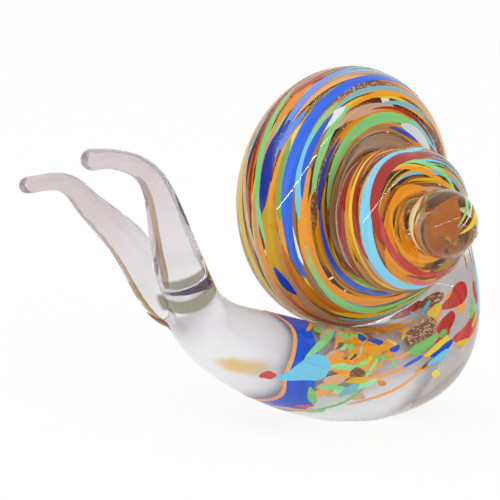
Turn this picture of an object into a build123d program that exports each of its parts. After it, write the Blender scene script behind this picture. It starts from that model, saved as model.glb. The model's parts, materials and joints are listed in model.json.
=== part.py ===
from build123d import *
from bisect import bisect_right
from math import cos, dist, pi, radians, sin, sqrt
import os

# A snail of hot-worked glass. One tapered rope runs from the parted head along the foot,
# up the tail and round the shell to its apex. Colour lies on it in streaks and chips.
# Z = 0 is the ground face under the foot, the head looks along -X, the apex along -Y.

# Rope, in millimetres
rope_radius = 10.2
neck_radius = 6.3
casing_wall = 2.6
flat_depth = 1.2

# Colour on the rope, and the clearances that keep the pieces apart
colour_depth = 0.35
colour_clearance = 0.05
core_clearance = 0.05
seat_clearance = 0.15
parting_gap = 0.1

# Body
head_reach = 48.8
head_height = 25.0
tail_bulge = 7.5

# Shell
whorl_radius = 19.0
whorl_offset = 11.0
shell_lean_share = 0.12

# Horns
near_reach, near_spread, near_rise, near_radius = 34.0, -6.5, 30.7, 5.2
far_reach, far_spread, far_rise, far_radius = 37.0, 9.5, 24.2, 4.6

# How finely the lofts are cut, and how a streak narrows to its tips
coil_cuts_per_turn = 16
body_cuts_per_station = 5
streak_cuts_per_turn = 20
chip_cuts_per_station = 8
least_cuts_per_piece = 4
tip_share = 0.14
corner_share = 0.001
nudge_share = 0.001
least_turn_apart = 0.42
wrap_angle = 179.0
dome_shares = (0.35, 0.62, 0.82, 0.94, 0.99)

# Coil: turns from the tail, centre line radius in whorl and in rope radii, advance and thickness in
# rope radii
coil_shares = (
    (0.00, 0.95, 0.00, -0.25, 1.00),
    (0.25, 1.00, 0.00, -0.08, 1.02),
    (0.50, 0.91, 0.00, 0.17, 1.02),
    (0.75, 0.81, 0.00, 0.50, 0.92),
    (0.875, 0.65, 0.06, 1.20, 0.84),
    (1.00, 0.40, 0.40, 1.74, 0.78),
    (1.25, 0.00, 0.80, 2.08, 0.71),
    (1.50, 0.00, 0.88, 2.22, 0.69),
    (1.75, 0.00, 0.73, 2.50, 0.64),
    (2.00, 0.00, 0.38, 3.17, 0.57),
    (2.25, 0.00, 0.16, 3.70, 0.60),
)
coil_start_turn, seat_turn, apex_turn, coil_end_turn = 0.06, 0.75, 2.06, 2.25

# Neck and foot: station, reach in head reaches, rise from the foot to the head, thickness from the
# neck's to the rope's
neck_shares = (
    (0, -1.00, 1.000, 0.00),
    (1, -0.845, 0.635, 0.31),
    (2, -0.59, 0.330, 0.74),
    (3, -0.26, 0.060, 0.97),
    (4, 0.05, 0.000, 1.00),
)
# Tail: station, reach in tail reaches, set back in whorl offsets, rise from the foot to the coil's
# axis, thickness in rope radii
tail_shares = (
    (5, 0.72, 0.25, 0.125, 1.00),
    (6, 1.00, 0.80, 0.47, 0.99),
)
body_end_station, guide_station, guide_turn = 7, 8, 0.16
# White core: station, clear wall over it and lift towards the top, both in casing walls
core_shares = (
    (0, 1.00, 0.24),
    (1, 1.08, 0.29),
    (2, 1.15, 0.21),
    (3, 1.00, 0.08),
    (4, 1.40, 0.27),
    (4.4, 1.75, 0.49),
    (4.8, 2.27, 0.95),
    (5.2, 3.00, 1.42),
)
core_end_station = 5.2

# Horns: reach past the head, spread, rise and thickness, all in the horn's own sizes
near_shares = (
    (-0.05, 0.30, -0.03, 0.95),
    (0.08, 0.42, 0.11, 1.00),
    (0.27, 0.70, 0.42, 0.87),
    (0.45, 0.92, 0.78, 0.58),
    (0.60, 1.00, 0.94, 0.44),
    (0.79, 0.92, 1.00, 0.385),
    (0.94, 0.85, 1.00, 0.42),
)
far_shares = (
    (-0.02, 0.15, -0.05, 0.95),
    (0.127, 0.32, 0.08, 1.00),
    (0.31, 0.62, 0.475, 0.85),
    (0.44, 0.76, 0.66, 0.72),
    (0.56, 0.87, 0.81, 0.59),
    (0.67, 0.95, 0.96, 0.46),
    (0.78, 1.00, 1.00, 0.39),
    (0.954, 1.00, 0.975, 0.37),
)

# Streaks on the shell, by colour: first and last turn, angle from the outer rim towards the apex, and
# width, both in degrees round the rope
streaks = {
    "cobalt": (
        (0.12, 0.62, 51, 15), (0.39, 0.56, 26, 14), (0.44, 0.60, 72, 5), (0.50, 0.98, 104, 6),
        (0.08, 0.45, 184, 12), (0.55, 1.00, 224, 12), (0.10, 0.42, 304, 10), (1.15, 1.70, 230, 12),
    ),
    "sky": (
        (0.08, 0.34, 38, 7), (0.38, 0.58, 63, 6), (0.10, 0.30, 84, 6), (0.50, 0.95, 184, 10),
        (0.12, 0.55, 244, 10), (1.12, 1.85, 49, 22), (1.88, 2.03, 5, 8),
    ),
    "green": (
        (0.31, 0.66, 13, 7), (0.43, 0.60, 38, 7), (0.41, 0.56, 84, 9), (0.67, 1.04, 91, 12),
        (0.16, 0.58, 128, 13), (0.15, 0.60, 204, 12), (0.52, 0.96, 264, 12), (1.10, 1.42, 103, 9),
        (1.10, 1.60, 200, 12),
    ),
    "yellow": (
        (0.28, 0.80, -24, 8), (0.56, 0.68, 28, 14), (0.12, 0.34, 72, 5), (0.83, 1.02, 12, 6),
        (0.60, 0.98, 244, 10), (1.20, 1.80, 3, 7), (1.46, 1.70, 103, 6),
    ),
    "orange": (
        (0.20, 0.36, 26, 13), (0.61, 0.86, 75, 13), (0.08, 0.34, 95, 6), (0.46, 0.78, 113, 4),
        (0.66, 0.95, -12, 8), (0.55, 1.00, 165, 12), (0.08, 0.50, 224, 12), (1.20, 1.75, 25, 11),
        (1.30, 1.66, 92, 8), (1.10, 1.55, 260, 12),
    ),
    "red": (
        (0.30, 0.64, 4, 5), (0.62, 0.86, 60, 6), (0.08, 0.48, 264, 10), (0.65, 1.05, 204, 10),
        (1.15, 1.78, -22, 9), (1.14, 1.60, 73, 19), (1.63, 1.96, 73, 13),
    ),
    "white": (
        (0.33, 0.39, 84, 9), (0.65, 0.80, 45, 8), (0.46, 0.60, 304, 8), (1.30, 1.60, 315, 8),
    ),
    "copper": (
        (0.14, 0.36, 63, 6), (0.44, 0.64, 95, 6), (0.08, 0.50, 284, 8), (1.30, 1.62, 13, 5),
    ),
    "tan": (
        (0.08, 0.25, -24, 10), (0.30, 0.62, -12, 7), (0.30, 0.80, 146, 10), (0.55, 1.00, 284, 10),
        (1.20, 1.60, -8, 6), (1.20, 1.70, 170, 12),
    ),
}

# Chips on the body, by colour: first and last station, angle from the top towards the apex's side, and
# width, both in degrees round the rope
chips = {
    "orange": (
        (2.98, 3.16, 80, 18), (3.06, 3.34, 60, 14), (3.38, 3.62, 56, 16), (3.66, 3.92, 44, 14),
        (3.20, 3.50, 84, 10), (2.80, 3.10, -90, 18), (3.50, 3.80, -110, 16),
    ),
    "red": (
        (4.10, 4.45, 28, 10), (5.20, 5.60, 40, 16), (4.90, 5.15, 62, 14), (5.30, 5.70, 78, 15),
        (4.00, 4.40, -100, 16),
    ),
    "sky": ((2.40, 2.92, 80, 32), (5.70, 6.50, 118, 12), (4.60, 5.00, -90, 16)),
    "green": (
        (2.40, 2.72, 48, 9), (2.80, 3.02, 42, 10), (4.35, 4.75, 80, 14), (3.20, 3.60, -80, 12),
    ),
    "yellow": ((1.15, 1.60, 92, 16), (4.45, 4.80, 64, 9), (4.66, 4.86, 48, 9), (5.10, 5.50, -80, 12)),
    "cobalt": ((3.25, 3.45, 36, 8), (3.80, 3.98, 62, 9), (4.60, 4.95, 95, 10), (2.50, 2.80, -120, 14)),
    "copper": ((4.30, 4.60, 46, 14), (4.72, 4.98, 30, 14), (3.90, 4.20, -70, 14)),
}
band_stations = (1.92, 2.22)
thread_stations = ((1.84, 1.89), (2.25, 2.30))


# A smooth value of one column of a table, at any place in its first column
def along(rows, column, place):
    places = [row[0] for row in rows]
    values = [row[column] for row in rows]
    last = len(rows) - 1
    low = min(max(bisect_right(places, place) - 1, 0), last - 1)
    high = low + 1

    def slope(row):
        before, after = max(row - 1, 0), min(row + 1, last)
        return (values[after] - values[before]) / (places[after] - places[before])

    step = places[high] - places[low]
    part = (place - places[low]) / step
    rest = 1 - part
    return (
        values[low] * (1 + 2 * part) * rest**2
        + slope(low) * step * part * rest**2
        + values[high] * (3 - 2 * part) * part**2
        - slope(high) * step * rest * part**2
    )


# Height of the coil's axis, at which the glass of its lowest bend rests on the foot's
glass_inset = colour_depth + colour_clearance
foot_height = rope_radius - flat_depth
seat_back = whorl_offset - along(coil_shares, 3, seat_turn) * rope_radius
seat_girths = rope_radius + along(coil_shares, 4, seat_turn) * rope_radius - 2 * glass_inset
seat_reach = seat_girths + seat_clearance


def coil_radius(turn):
    return along(coil_shares, 1, turn) * whorl_radius + along(coil_shares, 2, turn) * rope_radius


axis_height = foot_height + sqrt(seat_reach**2 - seat_back**2) + coil_radius(seat_turn)


def coil_point(turn):
    advance = along(coil_shares, 3, turn) * rope_radius
    radius = coil_radius(turn)
    across = radius * cos(2 * pi * turn) - shell_lean_share * advance
    return Vector(across, whorl_offset - advance, axis_height + radius * sin(2 * pi * turn))


# Plane across the coil and the rope's radius there, with X on the outer rim and Y towards the apex
def coil_section(turn):
    behind = coil_point(turn - nudge_share) - coil_point(turn + nudge_share)
    outward = Vector(cos(2 * pi * turn), 0, sin(2 * pi * turn))
    plane = Plane(coil_point(turn), x_dir=outward, z_dir=behind)
    return plane, along(coil_shares, 4, turn) * rope_radius


# Rows of station, x, y, z and radius, from the head to just past the start of the coil
def body_rows():
    rows = []
    for station, reach, rise, girth in neck_shares:
        height = foot_height + rise * (head_height - foot_height)
        radius = neck_radius + girth * (rope_radius - neck_radius)
        rows.append((station, reach * head_reach, 0, height, radius))
    tail_reach = coil_radius(0) + tail_bulge
    for station, reach, back, rise, girth in tail_shares:
        height = foot_height + rise * (axis_height - foot_height)
        rows.append((station, reach * tail_reach, back * whorl_offset, height, girth * rope_radius))
    for station, turn in ((body_end_station, coil_start_turn), (guide_station, guide_turn)):
        rows.append((station, *coil_point(turn), coil_section(turn)[1]))
    return rows


body_table = body_rows()


def body_point(station):
    return Vector(*(along(body_table, column, station) for column in (1, 2, 3)))


# Plane across the body and the rope's radius there, with X on top and Y towards the apex's side. The
# body's end lies flat on the coil's start.
def body_section(station):
    ahead = body_point(station + nudge_share) - body_point(station - nudge_share)
    plane = Plane(body_point(station), x_dir=ahead.cross(Vector(0, 1, 0)), z_dir=ahead)
    if station == body_end_station:
        start = coil_section(coil_start_turn)[0]
        plane = Plane(start.origin, x_dir=-start.x_dir, z_dir=-start.z_dir)
    return plane, along(body_table, 4, station)


# Plane across the white core and its radius there
def core_section(station):
    plane, radius = body_section(station)
    lift = along(core_shares, 2, station) * casing_wall
    lifted = Plane(plane.origin + plane.x_dir * lift, x_dir=plane.x_dir, z_dir=plane.z_dir)
    return lifted, radius - along(core_shares, 1, station) * casing_wall


def horn_rows(shares, reach, spread, rise, radius):
    return [
        (number, -head_reach - out * reach, side * spread, head_height + up * rise, girth * radius)
        for number, (out, side, up, girth) in enumerate(shares)
    ]


def horn_section(rows, place):
    def point(spot):
        return Vector(*(along(rows, column, spot) for column in (1, 2, 3)))

    ahead = point(place + nudge_share) - point(place - nudge_share)
    plane = Plane(point(place), x_dir=ahead.cross(Vector(0, 1, 0)), z_dir=ahead)
    return plane, along(rows, 4, place)


def places(start, end, cuts):
    return [start + (end - start) * cut / cuts for cut in range(cuts + 1)]


# Point at an angle on a circle, and the arc through three angles on it
def spot_on(radius, angle):
    return (radius * cos(radians(angle)), radius * sin(radians(angle)))


def arc_on(radius, *angles):
    return ThreePointArc(*(spot_on(radius, angle) for angle in angles))


# Disc bounded by four arcs, a hair flatter than its circle, whose faint corners keep a loft from twisting
def disc(radius):
    middle = (1 - corner_share) * radius
    quarters = []
    for angle in (0, 90, 180, 270):
        ends = spot_on(radius, angle), spot_on(radius, angle + 90)
        quarters.append(ThreePointArc(ends[0], spot_on(middle, angle + 45), ends[1]))
    return make_face(quarters)


# Rope through discs across its path, inset all round, with a rounded end where one is asked for
def rope(section, spots, inset, dome_side=0):
    discs = []
    for spot in spots:
        plane, radius = section(spot)
        discs.append(plane * disc(radius - inset))
    if dome_side:
        plane, radius = section(spots[-1])
        for share in dome_shares:
            reach = share * dome_side * (radius - inset)
            discs.append(plane.offset(reach) * disc((radius - inset) * sqrt(1 - share**2)))
    return loft(discs)


# Glass over a core: a rope with a blind bore that opens at its first end
def cased(glass, bore, opening):
    walls, caps = [], []
    for faces in (glass.faces(), bore.faces()):
        walls += faces.filter_by(GeomType.PLANE, reverse=True)
        caps.append(faces.filter_by(GeomType.PLANE).sort_by_distance(opening))
    ring = Face(caps[0][0].outer_wire(), [caps[1][0].outer_wire()])
    return Solid(Shell(walls + [ring, caps[0][1], caps[1][1]]))


# Face of a slice of a ring, between two radii and to each side of a middle angle
def ring_slice(inner, outer, middle, half):
    low, high = middle - half, middle + half
    return make_face(
        [
            arc_on(inner, low, middle, high),
            Line(spot_on(inner, high), spot_on(outer, high)),
            arc_on(outer, high, middle, low),
            Line(spot_on(outer, low), spot_on(inner, low)),
        ]
    )


# Thin ribbon of colour on the rope, pointed at both ends unless it wraps round
def ribbon(section, start, end, angle, width, cuts, pointed=True):
    slices = []
    for cut, spot in enumerate(places(start, end, cuts)):
        plane, radius = section(spot)
        swell = tip_share + (1 - tip_share) * sqrt(abs(sin(pi * cut / cuts))) if pointed else 1
        slices.append(plane * ring_slice(radius - colour_depth, radius, angle, width / 2 * swell))
    return loft(slices)


def write(node, *solids):
    whole = solids[0] if len(solids) == 1 else Compound(children=list(solids))
    export_step(whole, f"parts/{node}.step")
    print(node, round(sum(solid.volume for solid in solids)))


# Least gap between the coil's turns, measured on points
def print_least_gap():
    cuts = round(coil_end_turn * coil_cuts_per_turn * least_cuts_per_piece)
    spots = places(coil_start_turn, coil_end_turn, cuts)
    marks = [(spot, coil_point(spot), coil_section(spot)[1]) for spot in spots]
    gaps = [
        dist(tuple(one), tuple(other)) - radius - wide
        for turn, one, radius in marks
        for later, other, wide in marks
        if later - turn > least_turn_apart
    ]
    print("least gap between the turns", round(min(gaps), 2))


os.makedirs("parts", exist_ok=True)
print_least_gap()

# Body: a white core in a clear casing, ground flat under the foot
body_spots = places(0, body_end_station, body_end_station * body_cuts_per_station)
core_spots = places(0, core_end_station, round(core_end_station * body_cuts_per_station))
glass = rope(body_section, body_spots, glass_inset)
bore = rope(core_section, core_spots, -core_clearance, dome_side=1)
casing = cased(glass, bore, body_point(0))
write("body_casing", split(casing, Plane.XY, keep=Keep.TOP))
write("opal_core", rope(core_section, core_spots, 0, dome_side=1))

# Horns: two clear pulls, parted by a flat cut down the middle of the head
head_plane = body_section(0)[0]
for side, shares, sizes in (
    (-1, near_shares, (near_reach, near_spread, near_rise, near_radius)),
    (1, far_shares, (far_reach, far_spread, far_rise, far_radius)),
):
    rows = horn_rows(shares, *sizes)
    spots = places(0, len(rows) - 1, (len(rows) - 1) * body_cuts_per_station)
    horn = rope(lambda place, rows=rows: horn_section(rows, place), spots, 0, dome_side=1)
    horn = split(horn, head_plane, keep=Keep.BOTTOM)
    parting = Plane((0, side * parting_gap / 2, 0), x_dir=(1, 0, 0), z_dir=(0, side, 0))
    write("near_horn" if side < 0 else "far_horn", split(horn, parting, keep=Keep.TOP))

# Shell: an amber coil with a clear knob at its apex
coil_spots = places(coil_start_turn, apex_turn, round(apex_turn * coil_cuts_per_turn))
write("shell_coil", rope(coil_section, coil_spots, glass_inset))
knob_spots = places(apex_turn, coil_end_turn, least_cuts_per_piece)
write("apex_knob", rope(coil_section, knob_spots, glass_inset, dome_side=-1))

# Colour: streaks drawn out along the shell, chips on the body, and the band wrapped round the neck
for colour, rows in streaks.items():
    ribbons = []
    for start, end, angle, width in rows:
        cuts = max(least_cuts_per_piece, round((end - start) * streak_cuts_per_turn))
        ribbons.append(ribbon(coil_section, start, end, angle, width, cuts))
    write(f"{colour}_streaks", *ribbons)
for colour, rows in chips.items():
    ribbons = []
    for start, end, angle, width in rows:
        cuts = max(least_cuts_per_piece, round((end - start) * chip_cuts_per_station))
        ribbons.append(ribbon(body_section, start, end, angle, width, cuts))
    write(f"{colour}_chips", *ribbons)


# Two half wraps round the neck
def wrap(start, end):
    return [
        ribbon(body_section, start, end, angle, wrap_angle, least_cuts_per_piece, pointed=False)
        for angle in (90, 270)
    ]


write("neck_band", *wrap(*band_stations))
write("neck_threads", *(half for pair in thread_stations for half in wrap(*pair)))
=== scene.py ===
"""A snail of hot-worked art glass: one tapered rope of clear glass, coloured by streaks and chips."""
import json
from bisect import bisect_right
from math import ceil, cos, floor, pi, radians, sin, sqrt
from random import Random

import bpy
from bpy.props import FloatProperty, FloatVectorProperty, IntProperty, PointerProperty
from mathutils import Matrix, Vector

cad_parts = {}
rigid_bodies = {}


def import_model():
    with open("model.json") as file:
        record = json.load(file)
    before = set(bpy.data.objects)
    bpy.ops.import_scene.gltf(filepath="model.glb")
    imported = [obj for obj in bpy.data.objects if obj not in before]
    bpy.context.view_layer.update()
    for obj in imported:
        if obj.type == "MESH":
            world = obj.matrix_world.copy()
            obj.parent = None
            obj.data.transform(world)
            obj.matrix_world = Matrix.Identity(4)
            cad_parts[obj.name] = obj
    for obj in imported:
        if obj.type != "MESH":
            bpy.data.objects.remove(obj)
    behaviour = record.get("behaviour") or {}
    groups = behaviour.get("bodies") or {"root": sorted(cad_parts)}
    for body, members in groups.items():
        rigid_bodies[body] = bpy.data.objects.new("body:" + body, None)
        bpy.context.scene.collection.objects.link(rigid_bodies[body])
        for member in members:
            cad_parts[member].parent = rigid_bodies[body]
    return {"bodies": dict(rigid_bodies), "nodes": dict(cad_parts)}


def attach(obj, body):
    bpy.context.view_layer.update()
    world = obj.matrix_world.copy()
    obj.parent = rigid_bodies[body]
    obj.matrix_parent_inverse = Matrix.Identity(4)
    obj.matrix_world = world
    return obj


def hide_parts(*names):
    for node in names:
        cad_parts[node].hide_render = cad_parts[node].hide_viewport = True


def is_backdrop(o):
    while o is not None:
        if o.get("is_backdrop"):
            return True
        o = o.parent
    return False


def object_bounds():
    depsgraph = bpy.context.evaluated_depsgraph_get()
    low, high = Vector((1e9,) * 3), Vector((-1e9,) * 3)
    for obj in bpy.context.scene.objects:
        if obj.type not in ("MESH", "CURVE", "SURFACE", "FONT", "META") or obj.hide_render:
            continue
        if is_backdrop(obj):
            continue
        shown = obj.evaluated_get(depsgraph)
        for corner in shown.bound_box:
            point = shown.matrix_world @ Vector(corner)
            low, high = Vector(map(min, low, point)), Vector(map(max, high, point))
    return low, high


bl_info = {
    "name": "Glass Snail",
    "version": (1, 0, 0),
    "blender": (4, 5, 0),
    "location": "View3D > Sidebar > Glass Snail",
    "description": "Builds a snail figurine of streaked art glass",
    "category": "Object",
}

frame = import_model()
cad_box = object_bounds()
body = next(iter(frame["bodies"]))

# Coil: turns from the tail, centre line radius in whorl and in rope radii, then advance and thickness,
# both in rope radii
coil_shares = (
    (0.00, 0.95, 0.00, -0.25, 1.00),
    (0.25, 0.985, 0.00, -0.08, 1.04),
    (0.50, 0.87, 0.00, 0.17, 1.08),
    (0.75, 0.79, 0.00, 0.50, 0.95),
    (0.875, 0.65, 0.06, 1.20, 0.84),
    (1.00, 0.40, 0.40, 1.74, 0.78),
    (1.25, 0.00, 0.80, 2.08, 0.71),
    (1.375, 0.00, 0.95, 2.14, 0.72),
    (1.50, 0.00, 0.90, 2.22, 0.70),
    (1.75, 0.00, 0.73, 2.50, 0.64),
    (2.00, 0.00, 0.38, 3.15, 0.62),
    (2.25, 0.00, 0.20, 3.60, 0.71),
)
# Turns where the coil, the small whorl and the last dome start, and where the dome ends
coil_start, small_whorl, coil_end, dome_end = 0.06, 1.15, 2.25, 2.37
# Neck and foot: station, reach in head reaches, rise from the foot to the head, thickness from the
# neck's to the rope's
neck_shares = (
    (0, -1.00, 1.000, 0.00),
    (1, -0.845, 0.635, 0.31),
    (2, -0.59, 0.330, 0.74),
    (3, -0.26, 0.060, 0.97),
    (4, 0.05, 0.000, 1.00),
)
# Tail: station, reach in tail reaches, set back in whorl offsets, rise from the foot to the coil's axis,
# thickness in rope radii
tail_shares = (
    (5, 0.72, 0.25, 0.125, 1.00),
    (6, 1.00, 0.80, 0.47, 0.99),
)
# Station where the body meets the coil, and a station past it with its turn on the coil
body_end, guide_station, guide_turn = 7, 8, 0.16
# Horns: reach past the head, spread, rise and thickness, all in the horn's own sizes
near_shares = (
    (-0.05, 0.30, -0.03, 0.95),
    (0.08, 0.42, 0.11, 1.00),
    (0.27, 0.70, 0.42, 0.87),
    (0.45, 0.92, 0.78, 0.58),
    (0.60, 1.00, 0.94, 0.44),
    (0.79, 0.92, 1.00, 0.385),
    (0.94, 0.85, 1.00, 0.42),
)
far_shares = (
    (-0.02, 0.15, -0.05, 0.95),
    (0.127, 0.32, 0.08, 1.00),
    (0.31, 0.62, 0.475, 0.85),
    (0.44, 0.76, 0.66, 0.72),
    (0.56, 0.87, 0.81, 0.59),
    (0.67, 0.95, 0.96, 0.46),
    (0.78, 1.00, 1.00, 0.39),
    (0.954, 1.00, 0.975, 0.37),
)
# White core: station, clear wall over it and lift towards the top, both in casing walls
core_shares = (
    (0, 1.00, 0.24),
    (1, 1.08, 0.29),
    (2, 1.15, 0.21),
    (3, 1.00, 0.08),
    (4, 1.40, 0.27),
    (4.4, 1.75, 0.49),
    (4.8, 2.27, 0.95),
    (5.2, 3.00, 1.42),
)
core_start, core_end = 0.42, 5.2
# Wraps of the neck: angle from the top, station of the thread and of the band's far edge
wrap_shares = (
    (-180, 2.06, 2.50),
    (-90, 1.98, 2.44),
    (-30, 1.90, 2.54),
    (10, 1.85, 2.50),
    (40, 2.02, 2.36),
    (80, 2.00, 2.40),
    (107, 2.00, 2.46),
    (136, 2.16, 2.62),
    (180, 2.06, 2.50),
)

# Streaks on the shell, by colour: first and last turn, angle from the outer rim towards the apex at each,
# width round the rope in degrees, tone from deep to pale, and bow of the path in degrees
streaks = {
    "yellow": (
        (0.38, 0.64, -36, 4, 13, 0.4), (0.46, 0.62, 26, 26, 16, 0.1), (0.375, 0.435, 36, 31, 7, 0.8),
        (0.18, 0.36, 61, 55, 5, 0.6), (0.58, 0.96, 51, 45, 6, 0.5), (0.33, 0.41, 58, 57, 4, 0.8),
        (0.62, 0.90, 12, 8, 9, 0.3), (1.32, 1.72, -8, 30, 7, 0.7, 4), (1.23, 1.39, 62, 42, 4, 0.7),
        (0.60, 0.98, 244, 250, 10, 0.4), (1.20, 1.66, 170, 200, 10, 0.3), (0.10, 0.34, -38, -30, 8, 0.3),
        (2.10, 2.335, 40, 72, 16, 0.7), (1.78, 2.00, 236, 240, 6, 0.2),
        (1.84, 2.00, 306, 312, 5, 0.4), (1.82, 2.00, 265, 271, 3, 0.6), (0.40, 0.62, 130, 132, 12, 0.2),
    ),
    "orange": (
        (0.31, 0.39, 4, 8, 13, 0.3), (0.40, 0.50, 30, 28, 5, 0.4), (0.25, 0.39, 28, 22, 6, 0.9),
        (0.43, 0.70, 63, 68, 12, 0.5), (0.45, 0.76, 87, 98, 5, 0.4), (0.13, 0.33, 48, 61, 6, 0.5),
        (0.40, 0.50, -7, 6, 4, 0.3), (0.54, 0.72, 38, 55, 12, 0.1), (0.11, 0.25, 62, 67, 5, 0.7),
        (0.64, 0.86, 74, 70, 11, 0.5), (0.68, 0.95, -14, -20, 10, 0.6), (0.52, 0.66, 12, 18, 8, 0.4),
        (1.30, 1.68, -22, 34, 8, 0.3), (1.16, 1.37, 82, 48, 10, 0.5), (1.45, 1.82, 80, 102, 6, 0.6, 6),
        (1.44, 1.98, 112, 118, 34, 0.4), (1.28, 1.46, 92, 84, 20, 0.4), (0.55, 1.00, 165, 170, 12, 0.3),
        (0.08, 0.50, 224, 230, 12, 0.4), (1.10, 1.55, 240, 260, 14, 0.3), (1.70, 1.96, 150, 150, 30, 0.5),
        (0.36, 0.60, 116, 120, 12, 0.3), (1.76, 2.02, 150, 160, 14, 0.2),
        (1.78, 2.03, 184, 192, 12, 0.4), (1.80, 2.02, 256, 262, 5, 0.4), (1.80, 2.02, 272, 280, 4, 0.6),
        (1.82, 2.02, 290, 296, 5, 0.5),
    ),
    "tan": (
        (0.41, 0.58, -22, 10, 6, 0.9), (0.23, 0.36, 71, 68, 11, 0.7), (0.08, 0.37, -2, -10, 12, 0.3),
        (0.18, 0.42, -26, -20, 12, 0.5), (0.62, 0.92, 30, 32, 9, 0.5), (0.30, 0.80, 146, 150, 12, 0.2),
        (0.55, 1.00, 284, 290, 12, 0.5), (1.20, 1.60, 300, 320, 8, 0.6), (1.48, 1.76, -24, 4, 9, 0.7),
        (1.20, 1.70, 140, 160, 14, 0.5), (0.10, 0.50, 112, 118, 12, 0.4),
        (0.38, 0.62, 103, 106, 12, 0.6), (0.36, 0.60, 142, 142, 12, 0.4), (1.80, 2.00, 215, 222, 10, 0.4),
    ),
    "green": (
        (0.33, 0.54, -10, 21, 8, 0.6), (0.40, 0.51, 32, 40, 9, 0.1), (0.32, 0.44, 48, 54, 5, 0.5),
        (0.31, 0.50, 60, 78, 9, 0.6), (0.55, 0.92, 64, 56, 9, 0.6), (0.49, 0.57, 44, 52, 8, 0.9),
        (0.15, 0.60, 204, 210, 12, 0.4), (0.52, 0.96, 264, 268, 12, 0.6), (0.66, 0.84, 98, 92, 6, 0.3),
        (1.11, 1.37, 82, 38, 10, 0.7, -8), (1.10, 1.60, 200, 220, 12, 0.5), (2.06, 2.335, 8, 46, 8, 0.6),
        (0.12, 0.50, 79, 96, 12, 0.6),
    ),
    "sky": (
        (0.38, 0.51, 49, 60, 8, 0.5), (0.16, 0.34, 45, 52, 7, 0.1), (0.13, 0.26, 55, 70, 6, 0.2),
        (0.10, 0.19, 75, 76, 9, 0.6), (0.15, 0.31, 19, 15, 6, 0.2), (0.50, 0.95, 184, 188, 10, 0.5),
        (0.12, 0.55, 244, 250, 10, 0.4), (1.17, 1.87, 2, 34, 20, 0.6, 26), (2.10, 2.30, 128, 150, 9, 0.2),
        (0.70, 0.94, 40, 40, 6, 0.2), (0.08, 0.30, -50, -44, 10, 0.4),
    ),
    "red": (
        (0.34, 0.51, -15, 3, 5, 0.2), (0.295, 0.35, 9, -3, 8, 0.6), (0.59, 0.74, 17, 30, 5, 0.9),
        (0.11, 0.28, 75, 73, 4, 0.4), (0.08, 0.48, 264, 270, 10, 0.3), (0.65, 1.05, 204, 210, 10, 0.5),
        (1.24, 1.66, -28, -2, 18, 0.2), (1.15, 1.55, 26, 62, 19, 0.3, -6), (1.32, 1.58, -2, 33, 7, 0.4),
        (1.47, 1.91, 62, 52, 15, 0.6, 24), (1.69, 2.00, 66, 4, 15, 1.0), (2.02, 2.27, 74, 104, 12, 0.6),
    ),
    "white": (
        (0.32, 0.38, 57, 56, 9, 0.6), (0.11, 0.21, 86, 89, 12, 0.4), (0.50, 0.58, 49, 56, 5, 0.8),
        (0.46, 0.60, 304, 300, 8, 0.5), (1.30, 1.60, 315, 330, 8, 0.5), (2.08, 2.33, 24, 56, 3, 0.9),
    ),
    "copper": (
        (0.22, 0.36, 42, 44, 7, 0.5), (0.33, 0.48, 71, 79, 4, 0.5), (0.455, 0.53, 78, 76, 9, 0.5),
        (0.08, 0.16, 66, 68, 11, 0.5), (0.08, 0.50, 284, 288, 8, 0.5), (1.39, 1.58, -38, -10, 7, 0.5),
        (0.70, 0.95, 22, 20, 6, 0.5),
    ),
    "cobalt": (
        (0.16, 0.60, 27, 53, 13, 0.5), (0.38, 0.50, 20, 17, 14, 0.0), (0.34, 0.48, 53, 62, 7, 0.4),
        (0.36, 0.50, 78, 83, 5, 0.2), (0.49, 0.85, 85, 81, 7, 0.6, 6), (0.57, 0.62, 22, 32, 10, 0.1),
        (0.23, 0.43, 8, 23, 8, 1.0), (0.36, 0.42, 28, 26, 7, 0.8), (0.08, 0.45, 184, 190, 12, 0.3),
        (0.55, 1.00, 224, 230, 12, 0.5), (0.10, 0.42, 304, 310, 10, 0.4), (1.15, 1.70, 230, 250, 12, 0.4),
        (0.15, 0.24, 94, 96, 5, 0.1),
    ),
}
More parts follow.
